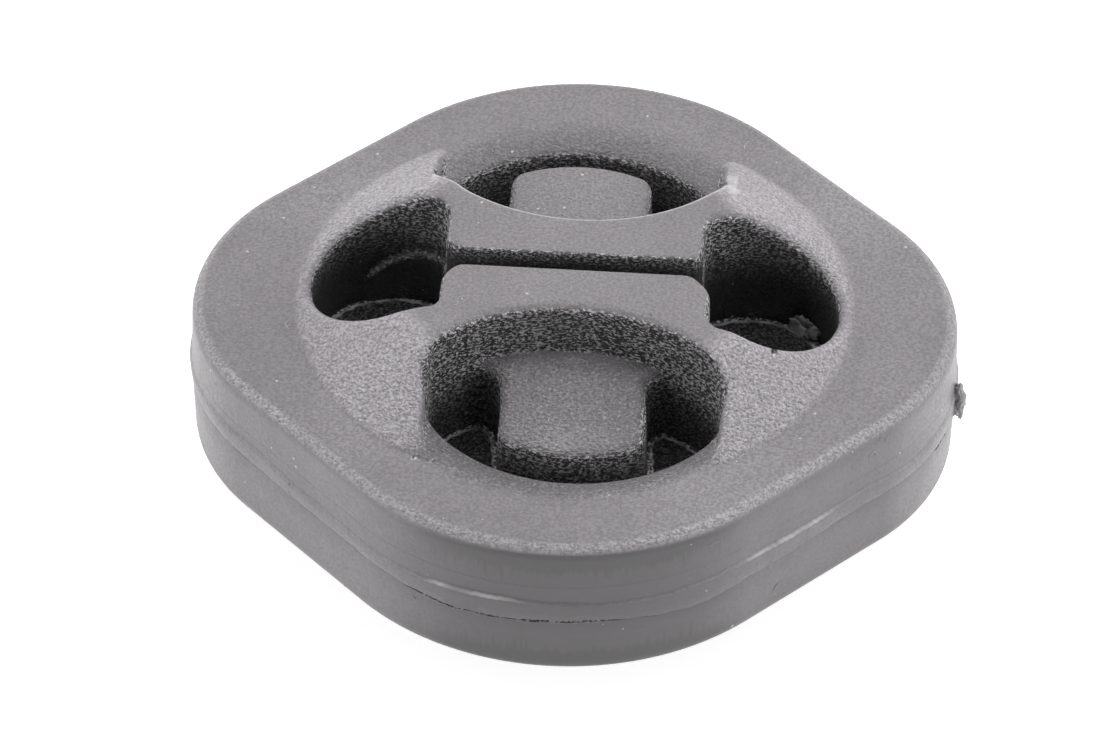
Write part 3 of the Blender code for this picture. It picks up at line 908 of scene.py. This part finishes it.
def make_rubber():
    """Mid-grey rubber: fine grain, flecks on the cavity walls painted pale as glints, painted shade in the
    openings and highlights on edges, dust and dark specks.
    """
    rubber, kit, shader = new_material("moulded_rubber")
    where = kit.add("ShaderNodeTexCoord").outputs["Object"]
    cone, wall, cavity, rim = (kit.value(name) for name in ("cone", "wall", "cavity", "rim"))
    deep, patch_and_shade, coarse_face, torn = (kit.value(name) for name in ("deep", "patch_and_shade", "coarse", "torn"))
    cloud = kit.noise(where, CLOUD_SCALE, 4.0, 0.6)
    grain = kit.noise(where, GRAIN_SCALE, 2.0, 0.65)
    drawn = kit.add("ShaderNodeMapping", {"Vector": where, "Scale": (1.0, 1.0, FLECK_STRETCH)}).outputs[0]
    fleck = kit.noise(drawn, FLECK_SCALE, 2.0, 0.6)
    coarse = kit.cells(drawn, COARSE_SCALE).outputs["Distance"]
    dust, dark = specks(kit, where)

    paler = kit.math("MAXIMUM", patch_and_shade, 0.0)
    darker = kit.math("MAXIMUM", kit.times(patch_and_shade, -1.0), 0.0)
    brink = kit.times(cavity, kit.without(cavity))
    ragged = kit.times(kit.times(brink, 7.0), kit.math("SUBTRACT", 0.5, fleck))
    hollow = kit.plus(cavity, ragged, clamp=True)
    lit = kit.math("SUBTRACT", cavity, kit.times(deep, 0.9), clamp=True)
    mottle = kit.times(kit.map(grain, 0.38, 0.62, 0.0, 0.6), kit.without(wall, 0.5))
    layers = (
        (cone, CONE_GREY),
        # Paler and darker patches; the darker colour also paints shade on the front of the wall and band.
        (kit.times(paler, 0.15), PATCH_PALE),
        (kit.times(darker, 0.8), PATCH_AND_SHADE_DARK),
        # Rim and band crest: edge wear with a painted highlight.
        (kit.times(rim, 0.7), RIM_WEAR_AND_HIGHLIGHT),
        # Painted shade on the cavity walls, with a ragged brink.
        (kit.times(hollow, 0.95), CAVITY_SHADE_DARK),
        # Painted glints: pale flecks on the lit part of the cavity walls and along the brink of each opening.
        (kit.times(kit.map(fleck, 0.5, 0.57), lit), FLECK_GLINT),
        (kit.times(kit.times(brink, 3.2), kit.map(fleck, 0.52, 0.6)), MOUTH_GLINT),
        # Painted shade, near black, deep down the openings.
        (kit.times(deep, 0.88), DEEP_SHADE_BLACK),
        # Painted relief: pits darkened as shade, glints beside them.
        (kit.times(coarse_face, kit.map(fleck, 0.47, 0.38, 0.0, 0.35)), PIT_SHADE),
        (kit.times(coarse_face, kit.map(fleck, 0.53, 0.62, 0.0, 0.4)), GLINT_PALE),
        (kit.times(mottle, kit.without(hollow, 0.92)), MOTTLE_DARK),
        (kit.times(dark, 0.7), SPECK_DARK),
        (kit.times(dust, 0.6), DUST_PALE),
        # Torn rubber, and painted highlights on the web's back edge, band crest and fin tips.
        (torn, TORN_AND_HIGHLIGHT_PALE),
    )
    base = kit.mix(kit.map(cloud, 0.3, 0.7), GREY_LOW, GREY_HIGH)
    for share, colour in layers:
        base = kit.mix(share, base, colour)
    kit.tree.links.new(base, shader.inputs["Base Color"])

    dull = kit.math("SUBTRACT", kit.map(grain, 0.3, 0.7, 0.5, 0.68), kit.times(wall, 0.18))
    kit.tree.links.new(kit.plus(dull, kit.times(hollow, 0.3), clamp=True), shader.inputs["Roughness"])

    fine = kit.times(grain, kit.without(wall, 0.85))
    rough = kit.plus(kit.math("MULTIPLY_ADD", coarse, 0.3, -0.57), kit.times(fleck, 0.9))
    rough_face = kit.math("MAXIMUM", kit.times(rim, 0.22), kit.times(coarse_face, 0.7))
    rough = kit.times(rough, kit.math("MAXIMUM", cavity, rough_face))
    height = kit.plus(kit.plus(kit.times(fine, 0.15), rough), kit.times(cloud, 0.15))
    bump = kit.add("ShaderNodeBump", {"Height": height, "Distance": MM, "Strength": 1.0})
    kit.tree.links.new(bump.outputs["Normal"], shader.inputs["Normal"])
    return rubber


def make_lint_white():
    lint, kit, shader = new_material("lint")
    tone = kit.noise(kit.add("ShaderNodeTexCoord").outputs["Object"], 400.0)
    pale = kit.mix(tone, (0.25, 0.24, 0.24), (0.7, 0.69, 0.68))
    kit.tree.links.new(pale, shader.inputs["Base Color"])
    shader.inputs["Roughness"].default_value = 0.8
    return lint


# Stage
def make_camera():
    data = bpy.data.cameras.new("camera")
    data.sensor_width = 36.0
    data.lens = CAMERA_LENS
    data.clip_start = 0.01
    data.clip_end = 20.0
    camera = new_object("camera", data)
    elevation, azimuth, roll = (math.radians(v) for v in (CAMERA_ELEVATION, CAMERA_AZIMUTH, CAMERA_ROLL))
    level = math.cos(elevation)
    back = Vector((math.sin(azimuth) * level, -math.cos(azimuth) * level, math.sin(elevation)))
    right = Vector((math.cos(azimuth), math.sin(azimuth), 0))
    up = back.cross(right)
    target = right * TARGET_RIGHT + Vector((-math.sin(azimuth), math.cos(azimuth), 0)) * TARGET_BACK
    place = (target + back * CAMERA_DISTANCE) * MM
    right, up = right * math.cos(roll) + up * math.sin(roll), up * math.cos(roll) - right * math.sin(roll)
    turn = Matrix((right, up, back)).transposed()
    camera.matrix_world = Matrix.Translation(place) @ turn.to_4x4()
    bpy.context.scene.camera = camera


def make_floor():
    """White paper at the block's underside, lifted to white where no shadow falls."""
    half, level = FLOOR_HALF_METRES, -SPOOL_TOP * MM
    corners = [(x * half, y * half, level) for x, y in ((-1, -1), (1, -1), (1, 1), (-1, 1))]
    mesh = bpy.data.meshes.new("floor")
    mesh.from_pydata(corners, [], [(0, 1, 2, 3)])
    floor = new_object("floor", mesh)
    paper, kit, plain = new_material("white_paper")
    plain.inputs["Base Color"].default_value = (FLOOR_WHITE, FLOOR_WHITE, FLOOR_WHITE, 1)
    plain.inputs["Roughness"].default_value = 0.9
    ray = kit.add("ShaderNodeLightPath")
    seen = kit.math("MAXIMUM", ray.outputs["Is Camera Ray"], ray.outputs["Is Glossy Ray"])
    glow = kit.add("ShaderNodeEmission", {"Color": (1, 1, 1, 1), "Strength": kit.times(seen, FLOOR_WHITE)})
    both = kit.add("ShaderNodeAddShader", {0: plain.outputs[0], 1: glow.outputs[0]})
    kit.tree.links.new(both.outputs[0], kit.tree.nodes["Material Output"].inputs["Surface"])
    mesh.materials.append(paper)


def make_light():
    data = bpy.data.lights.new("overhead", "AREA")
    data.shape = "RECTANGLE"
    data.size, data.size_y = LAMP_SIZE
    data.energy = LAMP_WATTS
    light = new_object("overhead", data)
    light.location = LAMP_PLACE
    light.rotation_mode = "QUATERNION"
    light.rotation_quaternion = (-Vector(LAMP_PLACE)).to_track_quat("-Z", "Y")


def make_world():
    """White paper all round near the horizon and high behind; dark above the camera's side."""
    world = bpy.data.worlds.new("studio")
    bpy.context.scene.world = world
    world.use_nodes = True
    kit = Nodes(world.node_tree)
    way = kit.add("ShaderNodeSeparateXYZ", {0: kit.add("ShaderNodeTexCoord").outputs["Generated"]})
    behind = kit.map(way.outputs[1], -0.3, 0.5, 0.0, PAPER_BEHIND)
    low = kit.map(way.outputs[2], 0.12, 0.35, PAPER_LOW, 0.0)
    high = kit.map(way.outputs[2], 0.6, 0.9, 1.0, 0.3)
    sides = kit.map(kit.math("ABSOLUTE", way.outputs[0]), 0.4, 0.85, 0.0, PAPER_SIDES)
    sides = kit.times(sides, kit.map(way.outputs[2], 0.2, 0.7, 1.0, 0.1))
    paper = kit.times(kit.math("MAXIMUM", behind, low), high)
    paper = kit.plus(PAPER_LEAST, kit.math("MAXIMUM", paper, sides))
    ray = kit.add("ShaderNodeLightPath")
    ground = world.node_tree.nodes["Background"]
    ground.inputs["Color"].default_value = (1, 1, 1, 1)
    strength = kit.math("MAXIMUM", paper, ray.outputs["Is Camera Ray"])
    kit.tree.links.new(strength, ground.inputs["Strength"])


def dress(piece, material):
    piece.data.materials.clear()
    piece.data.materials.append(material)
    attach(piece, "root")


def main():
    skin = make_skin()
    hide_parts("rubber_body")
    flap = make_lump("torn_flap", (20.9, 5.9, 0.7), (3.2, 1.1, 2.8), (14, -8, -42), 1.0, 0.42, 0.14)
    tab = make_lump("torn_tab", (35.15, -2.0, -0.1), (1.5, 2.2, 3.2), (0, 0, 4), 2.0, 0.34, 0.35)
    rubber = make_rubber()
    for piece in [skin, make_band(), flap, tab] + make_fins(skin):
        dress(piece, rubber)
    dress(make_lint(skin), make_lint_white())
    make_floor()
    make_light()
    make_world()
    make_camera()
    bpy.context.scene.view_settings.view_transform = "Standard"


main()
